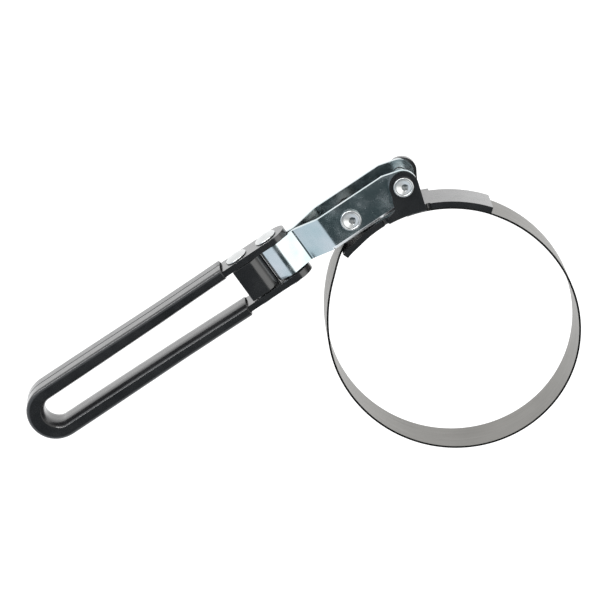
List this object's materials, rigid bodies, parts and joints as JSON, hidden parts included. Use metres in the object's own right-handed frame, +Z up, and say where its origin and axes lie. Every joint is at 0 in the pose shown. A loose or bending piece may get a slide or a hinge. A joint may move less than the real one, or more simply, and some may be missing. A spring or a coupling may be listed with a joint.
{
  "type": "oil filter wrench",
  "caption": "Band oil filter wrench: a steel band loop on a curved saddle, tightened by a pinched lever with a swivelling looped handle in a vinyl grip.",
  "frame": {"origin": "centre of the flat lower head of the lever pivot rivet, the lowest face of the wrench lying on a bench", "axes": "+Z up along the filter loop's axis and the lever pivot; +X along the handle and lever towards the loop; +Y sideways, away from the loop"},
  "size_m": [0.2093, 0.1244, 0.0248],
  "materials": {
    "black_paint": "satin black paint over pressed steel",
    "zinc_plate": "bright zinc plating with a faint blue tint",
    "spring_steel": "satin grey spring steel strip",
    "vinyl": "satin black vinyl sleeve"
  },
  "bodies": {
    "frame": {"saddle_bracket": "black_paint", "lever_pivot_rivet": "zinc_plate", "band_welded_end": "spring_steel"},
    "lever": {"lever": "zinc_plate", "band_rivet": "zinc_plate"},
    "handle": {"handle_strip": "black_paint", "vinyl_grip": "vinyl", "swivel_rivet": "zinc_plate", "spacer_rivet": "zinc_plate", "spacer_strap": "black_paint"},
    "band_1": {"band_link_01": "spring_steel"},
    "band_2": {"band_link_02": "spring_steel"},
    "band_3": {"band_link_03": "spring_steel"},
    "band_4": {"band_link_04": "spring_steel"},
    "band_5": {"band_link_05": "spring_steel"},
    "band_6": {"band_link_06": "spring_steel"},
    "band_7": {"band_link_07": "spring_steel"},
    "band_8": {"band_link_08": "spring_steel"},
    "band_9": {"band_link_09": "spring_steel"},
    "band_10": {"band_link_10": "spring_steel"}
  },
  "joints": [
    {"name": "lever_pivot", "type": "hinge", "parent": "frame", "child": "lever", "pos_m": [0, 0, 0.0124], "axis": [0, 0, -1], "range_deg": [0, 45]},
    {"name": "handle_swivel", "type": "hinge", "parent": "lever", "child": "handle", "pos_m": [-0.057, 0.0001, 0.0124], "axis": [0, 1, 0], "range_deg": [-90, 90]},
    {"name": "band_bend_1", "type": "hinge", "parent": "frame", "child": "band_1", "pos_m": [0.02173, -0.02936, 0.0124], "axis": [0, 0, -1], "range_deg": [0, 10.3]},
    {"name": "band_bend_2", "type": "hinge", "parent": "band_1", "child": "band_2", "pos_m": [0.03195, -0.05349, 0.0124], "axis": [0, 0, -1], "range_deg": [0, 9.4]},
    {"name": "band_bend_3", "type": "hinge", "parent": "band_2", "child": "band_3", "pos_m": [0.02961, -0.07957, 0.0124], "axis": [0, 0, -1], "range_deg": [0, 10.4]},
    {"name": "band_bend_4", "type": "hinge", "parent": "band_3", "child": "band_4", "pos_m": [0.01437, -0.10154, 0.0124], "axis": [0, 0, -1], "range_deg": [0, 5.1]},
    {"name": "band_bend_5", "type": "hinge", "parent": "band_4", "child": "band_5", "pos_m": [-0.01074, -0.11206, 0.0124], "axis": [0, 0, -1], "range_deg": [-9.4, 0]},
    {"name": "band_bend_6", "type": "hinge", "parent": "band_5", "child": "band_6", "pos_m": [-0.03743, -0.10685, 0.0124], "axis": [0, 0, -1], "range_deg": [-16.4, 0]},
    {"name": "band_bend_7", "type": "hinge", "parent": "band_6", "child": "band_7", "pos_m": [-0.05685, -0.08858, 0.0124], "axis": [0, 0, -1], "range_deg": [-5.8, 0]},
    {"name": "band_bend_8", "type": "hinge", "parent": "band_7", "child": "band_8", "pos_m": [-0.0647, -0.06365, 0.0124], "axis": [0, 0, -1], "range_deg": [0, 15.5]},
    {"name": "band_bend_9", "type": "hinge", "parent": "band_8", "child": "band_9", "pos_m": [-0.05985, -0.03784, 0.0124], "axis": [0, 0, -1], "range_deg": [0, 8.9]},
    {"name": "band_bend_10", "type": "hinge", "parent": "band_9", "child": "band_10", "pos_m": [-0.04478, -0.01715, 0.0124], "axis": [0, 0, -1], "range_deg": [-1.8, 0]}
  ],
  "couplings": [
    {"joint": "band_bend_1", "follows": "lever_pivot", "ratio": 0.2168},
    {"joint": "band_bend_2", "follows": "lever_pivot", "ratio": 0.1976},
    {"joint": "band_bend_3", "follows": "lever_pivot", "ratio": 0.2192},
    {"joint": "band_bend_4", "follows": "lever_pivot", "ratio": 0.1029},
    {"joint": "band_bend_5", "follows": "lever_pivot", "ratio": -0.1978},
    {"joint": "band_bend_6", "follows": "lever_pivot", "ratio": -0.353},
    {"joint": "band_bend_7", "follows": "lever_pivot", "ratio": -0.1172},
    {"joint": "band_bend_8", "follows": "lever_pivot", "ratio": 0.3323},
    {"joint": "band_bend_9", "follows": "lever_pivot", "ratio": 0.1867},
    {"joint": "band_bend_10", "follows": "lever_pivot", "ratio": -0.03}
  ]
}
